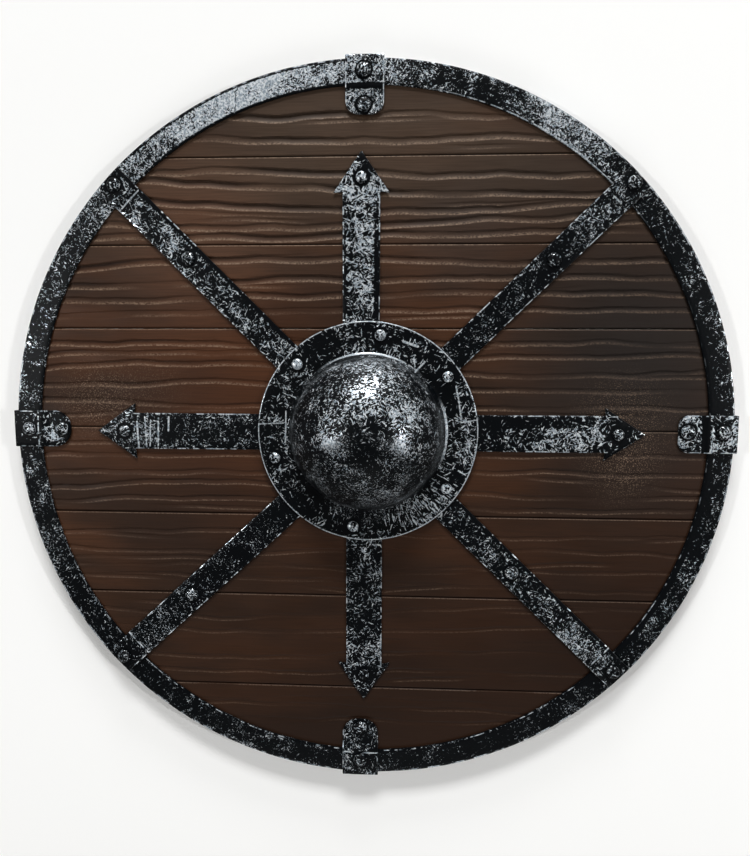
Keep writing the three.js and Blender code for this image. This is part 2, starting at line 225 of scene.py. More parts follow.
# %% [markdown]
# ## Materials
# A small function turns a hex colour as seen on a screen into the linear values that
# Blender mixes. Another adds any node: its kind, the way it works, and what goes into the
# sockets that it then shows, in their order or by name. It hands back the first output in
# use, and `.node` leads from there to the others. Every pattern reads Object coordinates.
# All pieces keep their objects at the origin, so these are places on the shield, and one
# material can be worn in one corner of the shield and dark in another.

# %% Helpers for materials
MODE_SETTINGS = {"Math": "operation", "VectorMath": "operation", "MapRange": "interpolation_type",
                 "Mix": "data_type", "VectorRotate": "rotation_type"}
PLUS = "Math ADD"
MINUS = "Math SUBTRACT"
TIMES = "Math MULTIPLY"
TIMES_PLUS = "Math MULTIPLY_ADD"
LARGER = "Math MAXIMUM"
RISE = "MapRange SMOOTHSTEP"
BLEND = "Mix RGBA"


def linear(hex_colour):
    channels = [int(hex_colour[i:i + 2], 16) / 255 for i in (1, 3, 5)]
    return [c / 12.92 if c <= 0.04045 else ((c + 0.055) / 1.055) ** 2.4 for c in channels] + [1]


class Finish:
    """The node tree of one material, with the place on the shield in millimetres."""

    def __init__(self, name):
        self.material = bpy.data.materials.new(name)
        self.material.use_nodes = True
        self.tree = self.material.node_tree
        self.tree.nodes.clear()
        place = self.add("TexCoord").node.outputs["Object"]
        self.place = self.add("VectorMath SCALE", place, 1 / MM)
        self.x, self.y, self.z = self.add("SeparateXYZ", self.place).node.outputs

    def add(self, kind, *values, named=None, **settings):
        kind, _, mode = kind.partition(" ")
        node = self.tree.nodes.new("ShaderNode" + kind)
        if mode:
            settings[MODE_SETTINGS[kind]] = mode
        for name, value in settings.items():
            setattr(node, name, value)
        inputs = list(zip([socket for socket in node.inputs if socket.enabled], values))
        inputs += [(node.inputs[name], value) for name, value in (named or {}).items()]
        for socket, value in inputs:
            if isinstance(value, bpy.types.NodeSocket):
                self.tree.links.new(value, socket)
            else:
                socket.default_value = linear(value) if isinstance(value, str) else value
        return next((socket for socket in node.outputs if socket.enabled), None)

    def speckle(self, size, detail=2.0, stretch=(1, 1, 1), shift=0.0, distortion=0.0):
        """Noise whose lumps are about size mm, stretched along the axes."""
        scale = [1 / (size * share) for share in stretch]
        place = self.add("VectorMath MULTIPLY_ADD", self.place, scale, (shift, shift, shift))
        return self.add("TexNoise", named={"Vector": place, "Scale": 1.0, "Detail": detail,
                                           "Distortion": distortion})

    def blob(self, x, y, radius, amount):
        """A soft round patch about a place on the shield."""
        return self.add(RISE, self.away(x, y), radius, 0, 0, amount)

    def across(self, turn, aside):
        """How far to the left a place lies of a line from the middle of the shield."""
        turn = math.radians(turn)
        side = self.add(TIMES_PLUS, self.x, -math.sin(turn), -aside)
        return self.add(TIMES_PLUS, self.y, math.cos(turn), side)

    def away(self, x, y):
        """How far a place lies from another, seen from above."""
        flat = self.add("VectorMath MULTIPLY", self.place, (1, 1, 0))
        return self.add("VectorMath DISTANCE", flat, (x, y, 0))

    def away_from_line(self, start, end):
        """How far a place lies from a short straight line, seen from above."""
        run = Vector((end[0] - start[0], end[1] - start[1], 0))
        back = (-start[0], -start[1], 0)
        offset = self.add("VectorMath MULTIPLY_ADD", self.place, (1, 1, 0), back)
        share = self.add("VectorMath DOT_PRODUCT", offset, run / run.length_squared)
        share = self.add(PLUS, share, 0.0, use_clamp=True)
        return self.add("VectorMath DISTANCE", offset, self.add("VectorMath SCALE", run, share))

    def total(self, values):
        result = values[0]
        for value in values[1:]:
            result = self.add(PLUS, result, value)
        return result


# %% [markdown]
# ### Painted iron
# The ironwork is black enamel with silver paint dabbed over it by a nearly dry brush. What
# the eye sees is a blue-black satin ground with short silver strokes, about 1 mm wide and
# 4 mm long, crowded into white in some places and nearly missing in others. A brush leaves
# strokes side by side, so each layer is a noise stretched one way, kept only where it is
# strongest, and four layers turned different ways take turns in patches of about 9 mm. A
# slow noise and soft spots at known places say how crowded the strokes are: where that
# lowers the threshold they grow together until only dark flecks are left.

# %% The strokes of the brush
STROKE_TURNS = (20, 65, 112, 156)
STROKE_PATCH = 9


def brush_strokes(n, crowd, wide, long):
    strokes = []
    for i, degrees in enumerate(STROKE_TURNS):
        turned = n.add("VectorRotate Z_AXIS", n.place, (0, 0, 0), math.radians(degrees))
        scale = (1 / long, 1 / wide, 1 / wide)
        place = n.add("VectorMath MULTIPLY_ADD", turned, scale, (13.7 * i,) * 3)
        dashes = n.add("TexNoise", named={"Vector": place, "Scale": 1.0, "Detail": 0.7,
                                          "Distortion": 0.8})
        patch = n.speckle(STROKE_PATCH, detail=1.0, shift=5.1 * i + 30)
        patch = n.add(TIMES_PLUS, patch, 0.4, -0.2)
        level = n.total([dashes, patch, n.add(TIMES, crowd, 0.28)])
        strokes.append(n.add(RISE, level, 0.6, 0.655))
    return n.add(LARGER, n.add(LARGER, *strokes[:2]), n.add(LARGER, *strokes[2:]))


# %% [markdown]
# The rim was bent from a straight strip and has creased across at the upper left, about
# every 20 mm. The creases lean over a little and break off, and end inside its edges.

# %% Creases across the rim
CREASE_SPACING = 20
CREASE_INNER = (284.5, 287)
CREASE_OUTER = (304, 302)


def rim_creases(n):
    ring = n.away(0, 0)
    round_rim = n.add(TIMES, n.add("Math ARCTAN2", n.y, n.x), SHIELD_RADIUS / MM / CREASE_SPACING)
    place = n.total([round_rim, n.add(TIMES, ring, 0.03), n.speckle(12, shift=4.8)])
    crease = n.add(RISE, n.add("Math PINGPONG", place, 0.5), 0.04, 0.012)
    broken = n.add(RISE, n.speckle(6, shift=15.5), 0.42, 0.5)
    inside = n.add(TIMES, n.add(RISE, ring, *CREASE_INNER), n.add(RISE, ring, *CREASE_OUTER))
    return n.add(TIMES, n.add(TIMES, crease, broken), inside)


# %% [markdown]
# At the lower right of the boss the brush was drawn outwards across the flange, so these
# strokes are a noise stretched along the radius that starts just outside the neck.

# %% Strokes drawn outwards
DRAWN_LENGTH = 9
DRAWN_TURNS = 52
DRAWN_START = (68, 71)


def drawn_strokes(n, x, y, radius):
    turn = n.add(TIMES, n.add("Math ARCTAN2", n.y, n.x), DRAWN_TURNS)
    place = n.add("CombineXYZ", turn, n.add(TIMES, n.away(0, 0), 1 / DRAWN_LENGTH))
    strokes = n.add("TexNoise", named={"Vector": place, "Scale": 1.0, "Detail": 1.0})
    crowd = n.add(PLUS, strokes, n.blob(x, y, radius, 0.14))
    return n.add(TIMES, n.add(RISE, crowd, 0.7, 0.74), n.add(RISE, n.away(0, 0), *DRAWN_START))


# %% [markdown]
# How crowded the strokes are is one sum. `spots` raise or lower it softly, `rings` wipe it
# clean round the rivets, and `bare` bands are where the brush hardly touched. A band keeps
# its distance from the middle line of a strap or from a centre: its first entry names the
# measure, and the last ones, if any, the part of it that it keeps to.

# %% How crowded the strokes are
CROWD_LUMP = 24
BARE_FADE = (1, 0.5)


def crowding(n, crowd, measured, spots, rings, bare):
    terms = [n.add(TIMES_PLUS, n.speckle(CROWD_LUMP, shift=7.3), 0.9, crowd - 0.65)]
    terms += [n.blob(*spot) for spot in spots]
    terms += [n.add(RISE, n.away(x, y), radius + 1, radius - 1, 0, -0.9) for x, y, radius in rings]
    outer, inner = BARE_FADE
    for key, low, high, amount, *near in bare:
        side = measured[key]
        band = n.add(TIMES, n.add(RISE, side, low - outer, low + inner),
                     n.add(RISE, side, high + outer, high - inner, 0, -amount))
        terms.append(n.add(TIMES, band, n.blob(*near, 1.0)) if near else band)
    return n.total(terms)


# %% [markdown]
# Silver also gathers where the brush catches an edge. `lines` keep their distance as the
# bands do and break up into dashes, and `marks` are single straight strokes.

# %% Lines and marks of silver
LINE_FADE = 0.3


def add_lines(n, silver, measured, lines, marks):
    for key, place, width, share, *near in lines:
        off = n.add("Math ABSOLUTE", n.add(MINUS, measured[key], place))
        line = n.add(RISE, off, width / 2 + LINE_FADE, width / 2 - LINE_FADE)
        gaps = (0.66 - 0.34 * share, 0.74 - 0.34 * share)
        line = n.add(TIMES, line, n.add(RISE, n.speckle(6, detail=3.0, shift=place), *gaps, 0, 0.9))
        silver = n.add(LARGER, silver, n.add(TIMES, line, n.blob(*near, 1.3)) if near else line)
    for start, end, width in marks:
        off = n.away_from_line(start, end)
        line = n.add(RISE, off, width / 2 + LINE_FADE, width / 2 - LINE_FADE)
        broken = n.add(RISE, n.speckle(2.5), 0.34, 0.46, 0.1, 0.85)
        silver = n.add(LARGER, silver, n.add(TIMES, line, broken))
    return silver


# %% [markdown]
# One function makes every painted iron. Small flecks replace the strokes within `fine`, the
# rim has creased about `creases`, and strokes were drawn outwards about `drawn`. A thin
# film of silver fills in where strokes crowd. The silver is half metal: it is brighter and
# a little smoother than the enamel, and stands on it by a hair.

# %% Painted iron
FLECK_WIDTH = 0.85
FLECK_LENGTH = 2.1
PAINT_THICKNESS = 0.3 * MM


def painted_iron(name, crowd, spots=(), wide=1.1, long=3.8, measures=None, bare=(), rings=(),
                 lines=(), marks=(), fine=None, creases=None, drawn=None):
    n = Finish(name)
    measured = {key: measure(n) for key, measure in (measures or {}).items()}
    crowd = crowding(n, crowd, measured, spots, rings, bare)
    silver = brush_strokes(n, crowd, wide, long)
    if fine:
        flecks = brush_strokes(n, n.add(PLUS, crowd, 0.06), FLECK_WIDTH, FLECK_LENGTH)
        x, y, radius = fine
        inside = n.add(RISE, n.away(x, y), radius + 6, radius - 8)
        silver = n.add(LARGER, n.add(TIMES, silver, n.add(MINUS, 1.0, inside)),
                       n.add(TIMES, flecks, n.add(TIMES, inside, 0.6)))
    if drawn:
        silver = n.add(LARGER, silver, drawn_strokes(n, *drawn))
    film = n.add(PLUS, crowd, n.add(TIMES_PLUS, n.speckle(5, shift=77), 1.0, -0.5))
    silver = n.add(LARGER, silver, n.add(RISE, film, 0.2, 0.9, 0, 0.3))
    if creases:
        cut = n.add(TIMES, rim_creases(n), n.blob(*creases, 1.5))
        dense = n.add(RISE, crowd, -0.25, 0.1)
        kept = n.add(TIMES_PLUS, n.add(TIMES, cut, dense), -0.9, 1.0)
        silver = n.add(TIMES, silver, kept)
        cut = n.add(TIMES, cut, n.add(TIMES_PLUS, dense, -0.8, 0.8))
        silver = n.add(LARGER, silver, cut)
    silver = add_lines(n, silver, measured, lines, marks)
    dark = n.add(BLEND, n.speckle(30, shift=1.7), "#020406", "#05070a")
    bright = n.add(RISE, n.speckle(1.7, shift=9.1), 0.36, 0.64)
    bright = n.add(BLEND, bright, "#9dabb6", "#f4faff")
    lumps = n.total([n.add(TIMES, silver, 0.3), n.add(TIMES, n.speckle(2.2, shift=2.2), 0.7)])
    surface = n.add("BsdfPrincipled", named={
        "Base Color": n.add(BLEND, silver, dark, bright),
        "Metallic": n.add(TIMES, silver, 0.5),
        "Roughness": n.add(RISE, silver, 0, 1, 0.4, 0.24),
        "Specular IOR Level": 0.09,
        "Normal": n.add("Bump", named={"Height": lumps, "Strength": 0.5, "Distance": PAINT_THICKNESS})})
    n.add("OutputMaterial", surface)
    return n.material


# %% [markdown]
# The boss is brightest on the upper half of its dome, partly by crowded strokes and partly
# by a painted highlight where the top light shines back, with two small painted glints at
# the sides of the dome where the lamps shine back. Its lower half has only fine flecks. A
# silver line runs round the edge of the flange, and another along the top and the right of
# the neck. The rim is nearly white at the upper left and dark lower down. Its inner edge is
# bare at the right. Places are in millimetres from the middle of the shield.

# %% Paint of the boss and the rim
def centre_of(node):
    low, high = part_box(node)
    return (low + high) / 2


boss_rivets = [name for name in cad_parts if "boss_rivet" in name]
boss_rings = [(*(centre_of(name).xy / MM), 7) for name in boss_rivets]
# The spots at (4, 44), (-27, 0) and (31, -2) are a painted highlight and painted glints on the dome.
boss_paint_and_highlight_spots = [(4, 44, 40, 0.28), (40, 20, 34, 0.3), (-24, 20, 34, 0.2), (0, -12, 22, -0.25),
              (82, -6, 30, 0.25), (56, -62, 34, 0.1), (-60, -60, 44, -0.1), (-27, 0, 13, 0.6),
              (31, -2, 13, 0.7), (0, 84, 50, 0.05), (-84, 20, 40, 0.05), (62, 36, 16, -0.4)]
boss_lines = [("ring", 92.9, 0.7, 0.9), ("ring", 66.5, 1.4, 1.0, 2, 66, 48),
              ("ring", 67.0, 2.0, 1.0, 68, 2, 32)]
boss_marks = [((-68.6, 19), (-69.5, -8), 1.0), ((-92, 8), (-71, 9), 0.7), ((30.7, 78), (42.6, 74), 1.8),
              ((40.6, 53), (48.5, 61), 1.3), ((75, 41), (80, 13), 1.2), ((82, 11), (93, 13), 0.6)]
boss_iron = painted_iron("black_enamelled_iron_boss", -0.2, boss_paint_and_highlight_spots, wide=1.3, long=4.6,
                         measures={"ring": lambda n: n.away(*(BOSS_CENTRE.xy / MM))},
                         rings=boss_rings, lines=boss_lines, marks=boss_marks,
                         fine=(0, -34, 40), drawn=(48, -58, 62))

rim_spots = [(-110, 280, 110, 0.8), (0, 292, 70, 0.4), (-210, 215, 90, 0.3), (160, 245, 75, 0.4),
             (-200, -220, 120, -0.1), (100, -280, 190, -0.26), (-60, -290, 120, -0.12),
             (290, 0, 170, -0.12)]
rim_bare = [("ring", 283, 289, 0.8, 300, -60, 260), ("ring", 303, 306, 1.5, -110, 290, 160),
            ("ring", 283, 285.5, 1.5, -110, 290, 160)]
rim_lines = [("ring", 284.9, 0.6, 0.45, 60, -300, 500), ("ring", 304.2, 0.7, 0.5),
             ("ring", 284.9, 0.7, 0.8, 150, 250, 120)]
rim_iron = painted_iron("black_enamelled_iron_rim", -0.22, rim_spots, wide=0.95, long=2.8,
                        measures={"ring": lambda n: n.away(0, 0)}, bare=rim_bare, lines=rim_lines,
                        fine=(60, -520, 330), creases=(-150, 255, 150))
rubbed_rivet = painted_iron("rubbed_enamelled_iron_rivets", 0.2, [(0, 0, 130, 0.25)], wide=1.8, long=3.4)
dark_rivet = painted_iron("dark_enamelled_iron_rivets", -0.08, wide=1.3, long=3)
print("painted irons: 4")

# %% [markdown]
# ### Stained softwood
# The planks are pine with a dark brown stain, wiped on and worn. The stain is warmer in
# the middle and greyer at the top, and each patch of it has its place, size, strength and
# colour. Towards the bottom right the wood is painted nearly black, partly a darker stain
# and partly painted shade. The fine grain runs along the planks, about 1 mm apart.

# %% The stain
STAIN_PATCHES = [(230, 60, 170, 0.9, "#25201d"), (-150, -75, 120, 0.6, "#2a1b13"),
                 (170, 180, 140, 0.55, "#211a15"), (235, 90, 110, 0.5, "#1d1917"),
                 (-140, 160, 100, 0.5, "#5f4231"), (75, 165, 75, 0.4, "#2e2b29")]
GRAIN_SPACING = 1.2
GRAIN_STRETCH = (26, 1, 1)
PATCH_STRETCH = (3, 1, 1)


def stain(n, fine, depth):
    warm = n.add(RISE, n.speckle(45, stretch=PATCH_STRETCH, shift=2.9), 0.35, 0.68)
    ground = n.add(BLEND, warm, "#2f2017", "#452b1b")
    ground = n.add(BLEND, n.blob(-100, 30, 150, 0.6), ground, "#4e2c17")
    uneven = n.add(RISE, n.speckle(50, stretch=PATCH_STRETCH, shift=8.8), 0.25, 0.55, 0.4, 1)
    grey = n.add(TIMES, n.add(RISE, n.y, 100, 230), uneven)
    ground = n.add(BLEND, n.add(TIMES, grey, 0.8), ground, "#45372c")
    # Darker towards the bottom right: partly a darker stain, partly painted shade.
    low = n.add(RISE, n.add(MINUS, n.add(TIMES, n.x, 0.5), n.y), -60, 300)
    ground = n.add(BLEND, n.add(TIMES, low, 0.85), ground, "#22140c")
    for *place, colour in STAIN_PATCHES:
        ground = n.add(BLEND, n.blob(*place), ground, colour)
    ground = n.add(BLEND, n.add(RISE, fine, 0.3, 0.75, 0, 0.3), ground, "#1a110b")
    return n.add(BLEND, n.add(RISE, depth, 0.7, 1.5, 0, 0.55), ground, "#160d08")


# %% [markdown]
# The stain lies thick in the carved lines. The lips of the lines that face the top of the
# shield are painted pale: partly rubbed wear, partly a painted highlight of the light from
# the top, and so stronger towards the top of the shield. Near the points of the left and
# right arrows the wood is dusty. Both keep to the face, which the depth below it tells.

# %% The painted highlight on the worn lips, and the dust
WORN_SPOTS = [(-235, 26, 50, 0.9), (-190, 40, 50, 0.3), (215, 8, 60, 0.7), (215, -28, 45, 0.6)]


def lip_highlight_and_dust(n, depth):
    normal = n.add("NewGeometry").node.outputs["Normal"]
    # Lips that face the top light get a painted highlight as well as wear.
    facing = n.add("SeparateXYZ", normal).node.outputs["Y"]
    dust = n.add(RISE, n.speckle(1.0, stretch=(1.3, 1, 1), shift=6.1), 0.32, 0.66)
    # The painted highlight is stronger towards the top, where the light is strongest.
    reach = n.add(MINUS, n.add(RISE, n.y, -230, 160, 0.38, 0.7), n.blob(220, 80, 150, 0.4))
    lip_depth = n.add(RISE, n.y, -120, 130, 0.35, 0.95)
    crest = n.add(TIMES, n.add(RISE, facing, 0.06, 0.24), n.add(RISE, depth, lip_depth, 0.05))
    lip = n.add(TIMES, crest, n.add(TIMES, dust, reach))
    worn = n.total([n.blob(*spot) for spot in WORN_SPOTS])
    specks = n.add(RISE, n.speckle(0.9, shift=12.5), 0.56, 0.68)
    specks = n.add(TIMES, specks, n.add(RISE, depth, 3, 2))
    return n.add(LARGER, lip, n.add(TIMES, worn, specks))


# %% [markdown]
# Stained and waxed pine has a low sheen that changes in patches, and the harder lines of
# its grain stand a tenth of a millimetre proud. The grip is ash with the same stain. It
# has no carved face, so that is put far above it, and nothing counts as a furrow's lip.

# %% Stained woods
GRAIN_DEPTH = 0.12 * MM
FAR_ABOVE = 1000
# Pale colour of the worn lips with their painted highlight, and of the dust.
LIP_HIGHLIGHT_AND_DUST_COLOUR = "#85705e"


def stained_wood(name, face_z):
    n = Finish(name)
    fine = n.speckle(GRAIN_SPACING, detail=3, stretch=GRAIN_STRETCH, shift=4.4, distortion=0.2)
    depth = n.add(MINUS, face_z, n.z)
    rough = n.add(RISE, n.speckle(14, stretch=PATCH_STRETCH, shift=3.3), 0.3, 0.7, 0.45, 0.6)
    surface = n.add("BsdfPrincipled", named={
        "Base Color": n.add(BLEND, lip_highlight_and_dust(n, depth), stain(n, fine, depth), LIP_HIGHLIGHT_AND_DUST_COLOUR),
        "Roughness": rough,
        "Specular IOR Level": 0.13,
        "Normal": n.add("Bump", named={"Height": fine, "Strength": 0.4, "Distance": GRAIN_DEPTH})})
    n.add("OutputMaterial", surface)
    return n.material


plank_wood = stained_wood("dark_stained_pine_planks", plank_top / MM)
grip_wood = stained_wood("worn_stained_ash_grip", FAR_ABOVE)
print("woods: 2")

# %% [markdown]
# ## Planks
# A carver cuts long lines into the face of each plank, as deep furrows that follow the
# grain: one wall is steep, and the other runs up softly to a rounded lip. A bevel or an
# inset can't follow such wandering lines, so the face is a fine grid whose rows are moved
# down by the shape of the furrow. Its ends are drawn in to the round of the shield first,
# and the whole face is then extruded down to give the plank its thickness. Each line below
# gives where a furrow lies at four places along the plank, as shares of its width.

# %% The carved lines
GROOVE_WIDTH = 6.6 * MM
GROOVE_DEPTH = 1.4 * MM
STEEP_SHARE = 0.17
SOFT_SHARE = 1.83
CARVING_KNOTS = [-1, -1 / 3, 1 / 3, 1]
CARVED_LINES = [
    [[0.48, 0.58, 0.58, 0.66], [0.71, 0.84, 0.84, 0.87]],
    [[0.09, 0.18, 0.23, 0.25], [0.22, 0.33, 0.44, 0.37], [0.4, 0.58, 0.61, 0.51], [0.7, 0.82, 0.75, 0.64],
     [0.92, 0.92, 0.89, 0.84]],
    [[0.37, 0.18, 0.21, 0.15], [0.51, 0.44, 0.41, 0.4], [0.67, 0.62, 0.58, 0.63], [0.88, 0.8, 0.78, 0.8]],
    [[0.14, 0.15, 0.14, 0.15], [0.28, 0.25, 0.27, 0.26], [0.44, 0.36, 0.45, 0.37], [0.61, 0.55, 0.6, 0.6],
     [0.71, 0.79, 0.79, 0.78]],
    [[0.35, 0.31, 0.29, 0.28], [0.56, 0.51, 0.48, 0.52], [0.76, 0.66, 0.75, 0.73], [0.91, 0.84, 0.91, 0.88]],
    [[0.29, 0.23, 0.26, 0.18], [0.43, 0.49, 0.42, 0.46], [0.65, 0.67, 0.66, 0.67], [0.82, 0.8, 0.88, 0.88]],
    [[0.11, 0.26, 0.12, 0.13], [0.32, 0.42, 0.34, 0.3], [0.63, 0.69, 0.59, 0.65], [0.83, 0.86, 0.81, 0.87]],
    [[0.25, 0.24, 0.26, 0.31], [0.42, 0.42, 0.4, 0.39]],
]


def line_at(values, along):
    result = np.zeros_like(along)
    for i, value in enumerate(values):
        term = np.full_like(along, value)
        for j, knot in enumerate(CARVING_KNOTS):
            if i != j:
                term = term * (along - knot) / (CARVING_KNOTS[i] - knot)
        result += term
    return result


def furrow(across):
    """How deep the furrow is, from 0 to 1, across it from its crest at -1 to its steep wall at 1."""
    steep = np.clip((1 - across) / STEEP_SHARE, 0, 1)
    soft = np.clip((1 + across) / SOFT_SHARE, 0, 1)
    return np.where(np.abs(across) < 1, np.minimum(steep * (2 - steep), np.sin(soft * math.pi / 2)), 0)


def wander(x, lump, seed):
    """A smooth random curve along the shield, between about -1 and 1."""
    places = np.linspace(-PLANK_RADIUS, PLANK_RADIUS, 241)
    heights = [1.6 * noise.noise((place / lump, 3.7 * seed, 0.5)) for place in places]
    return np.interp(x, places, heights)


# %% [markdown]
# One grid has a row every 0.55 mm across the plank and a column every 4 mm along it, so a
# furrow has about a dozen rows to take its shape. The furrows are bold at the top of the
# shield and faint at the bottom, they wander, and each fades and comes back along its way.
# Between them lie a few finer ones that cross over and run into their neighbours. The
# edges at the joints are rounded over, which draws the thin dark line and the pale one
# below it between two planks.

# %% Make the planks
ROW = 0.55 * MM
COLUMN = 4 * MM
EDGE_ROUND = 1.1 * MM
LINE_WANDER = 1.5 * MM
FINE_LINES = 3
FINE_WIDTH = 4 * MM
FINE_DEPTH = 0.5 * MM
BLUNT_END = 0.4 * MM
ROUGHNESS = 0.15 * MM
ROUGH_LUMP = (0.09, 0.014)
BOLD_HEIGHTS = (-120 * MM, -60 * MM, 60 * MM, 150 * MM)
BOLD_SHARES = (0.3, 0.6, 0.7, 1)


def make_plank(number):
    low, high = (corner.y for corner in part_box(f"plank_{number}"))
    high = min(high, PLANK_RADIUS - BLUNT_END)
    low = max(low, BLUNT_END - PLANK_RADIUS)
    rows, columns = round((high - low) / ROW), round(2 * PLANK_RADIUS / COLUMN)
    middle_y = (low + high) / 2
    bpy.ops.mesh.primitive_grid_add(x_subdivisions=columns, y_subdivisions=rows, size=1,
                                    location=(0, middle_y, plank_top))
    bpy.context.object.scale = (2, high - low, 1)
    piece = new_piece(f"plank_{number}_carved")
    points = points_of(piece)
    across = np.clip(PLANK_RADIUS ** 2 - points[:, 1] ** 2, 0, None) ** 0.5
    points[:, 0] *= across
    set_points(piece, points)
    edit(piece)
    extrude((0, 0, plank_bottom - plank_top))
    pick(piece, "FACE", lambda face: all(v.co.z < plank_bottom + NEAR for v in face.verts))
    bpy.ops.mesh.dissolve_faces()
    done()
    face_outwards(piece)
    carve(piece, number, low, high)
    return piece


def carve(piece, number, low, high):
    points = points_of(piece)
    x, y, z = points.T
    nearest = 0 if low * high < 0 else min(abs(low), abs(high))
    along = np.clip(x / math.sqrt(PLANK_RADIUS ** 2 - nearest ** 2), -1, 1)
    bold = np.interp(y, BOLD_HEIGHTS, BOLD_SHARES) * np.interp(x, (0, 200 * MM), (1, 0.75))
    sink = np.zeros_like(x)
    for i, line in enumerate(CARVED_LINES[number - 1]):
        seed = 10 * number + i
        centre = high - line_at(line, along) * (high - low) + LINE_WANDER * wander(x, 50 * MM, seed)
        centre += LINE_WANDER / 2 * wander(x, 22 * MM, seed + 0.7)
        depth = GROOVE_DEPTH * bold * np.clip(0.8 + 0.5 * wander(x, 70 * MM, seed + 0.4), 0.2, 1.1)
        half_width = GROOVE_WIDTH * (0.4 + 0.6 * bold) / 2
        sink = np.maximum(sink, depth * furrow((y - centre) / half_width))
    shares = random.Random(number)
    for i in range(FINE_LINES):
        seed = 100 + 10 * number + i
        share = (i + shares.uniform(0.3, 0.9)) / FINE_LINES
        centre = high - share * (high - low) + 6 * MM * wander(x, 150 * MM, seed)
        centre = centre + 1 * MM * wander(x, 40 * MM, seed)
        depth = FINE_DEPTH * np.clip(0.1 + 1.3 * wander(x, 90 * MM, seed + 0.4), 0, 1)
        sink = np.maximum(sink, depth * furrow((y - centre) / (FINE_WIDTH / 2)))
    to_edge = np.minimum(high - y, y - low)
    rounding = np.clip(1 - to_edge / EDGE_ROUND, 0, 1)
    sink = np.maximum(sink, EDGE_ROUND * (1 - np.sqrt(1 - rounding ** 2)))
    long_lump, cross_lump = ROUGH_LUMP
    uneven = [noise.noise((px / long_lump, py / cross_lump, number)) for px, py in zip(x, y)]
    sink = np.maximum(sink - np.array(uneven) * ROUGHNESS * (rounding == 0), 0)
    points[:, 2] = np.where(z > plank_top - NEAR, z - sink, z)
    set_points(piece, points)


planks = {number: make_plank(number) for number in range(1, 9)}
print("planks:", sum(len(p.data.polygons) for p in planks.values()), "faces")

# %% [markdown]
# The hand hole and the bed of the grip go through more than one plank. As on the bench,
# they are cut once the planks lie side by side, here with a boolean and a plain cutter.

# %% Cut the hand hole and the bed of the grip
GRIP_TURN = math.radians(82)
GRIP_LENGTH = 200 * MM
TONGUE_WIDTH = 30 * MM
TONGUE_THICKNESS = 6 * MM

bpy.ops.mesh.primitive_cylinder_add(vertices=96, radius=HAND_HOLE_RADIUS, depth=60 * MM,
                                    location=BOSS_CENTRE)
hole = new_piece("hole_cutter")
bed_size = (GRIP_LENGTH + 2 * FIT_GAP, TONGUE_WIDTH + 2 * FIT_GAP,
            2 * (plank_bottom + TONGUE_THICKNESS + FIT_GAP))
bpy.ops.mesh.primitive_cube_add(size=1, location=BOSS_CENTRE, rotation=(0, 0, GRIP_TURN), scale=bed_size)
bed = new_piece("bed_cutter")
for number, cutters in {3: [bed], 4: [hole, bed], 5: [hole, bed], 6: [bed]}.items():
    for cut in cutters:
        modify(planks[number], "BOOLEAN", operation="DIFFERENCE", object=cut, solver="EXACT")
for cut in (hole, bed):
    bpy.data.objects.remove(cut)
for number, plank in planks.items():
    smooth(plank, 50)
    finish_piece(plank, f"plank_{number}", plank_wood)
print("hand hole and bed cut")

# %% [markdown]
# ## Boss and rim
# Both are turned shapes: the boss is beaten over a round former, and the rim is a strip
# folded to a channel. A circle primitive gives a loop with the right number of corners,
# the corners are put on the outline of a section, and spin carries the section round.

# %% Spin a section round
def rounded(profile, radius, steps=4, closed=True):
    """Takes each corner of a section off with a small arc."""
    result = []
    for i, point in enumerate(profile):
        if not closed and i in (0, len(profile) - 1):
            result.append(point)
            continue
        here = Vector(point)
        back = Vector(profile[i - 1]) - here
        ahead = Vector(profile[(i + 1) % len(profile)]) - here
        reach = min(radius, back.length / 2, ahead.length / 2)
        start, end = here + back.normalized() * reach, here + ahead.normalized() * reach
        for step in range(steps + 1):
            t = step / steps
            result.append(tuple((1 - t) ** 2 * start + 2 * t * (1 - t) * here + t ** 2 * end))
    return result


def spun(name, profile, centre, steps):
    bpy.ops.mesh.primitive_circle_add(vertices=len(profile), radius=10 * MM, location=centre)
    piece = new_piece(name)
    for vertex, (radius, height) in zip(piece.data.vertices, profile):
        vertex.co = (centre[0] + radius, centre[1], height)
    edit(piece)
    bpy.ops.mesh.select_mode(type="VERT")
    bpy.ops.mesh.select_all(action="SELECT")
    bpy.ops.mesh.spin(steps=steps, angle=2 * math.pi, center=(centre[0], centre[1], 0), axis=(0, 0, 1))
    done()
    face_outwards(piece)
    return piece


# %% [markdown]
# The boss is one sheet of 2 mm. Its section goes up the inside of the dome and comes back
# down the outside, over a short leaning neck and out along the flange.

# %% Make the boss
NECK_HEIGHT = 8 * MM
NECK_LEAN = 4 * MM
DOME_ARC = 36
FOLD_ROUND = 0.7 * MM


def dome_arc(inset):
    rise = dome_top - flange_top - NECK_HEIGHT - inset
    radius = NECK_RADIUS - NECK_LEAN - inset
    angles = [math.pi / 2 * i / DOME_ARC for i in range(DOME_ARC + 1)]
    return [(radius * math.cos(a) if i < DOME_ARC else 0.0, flange_top + NECK_HEIGHT + rise * math.sin(a))
            for i, a in enumerate(angles)]


def spread(start, end, steps):
    return [tuple(Vector(start).lerp(Vector(end), i / steps)) for i in range(steps)]


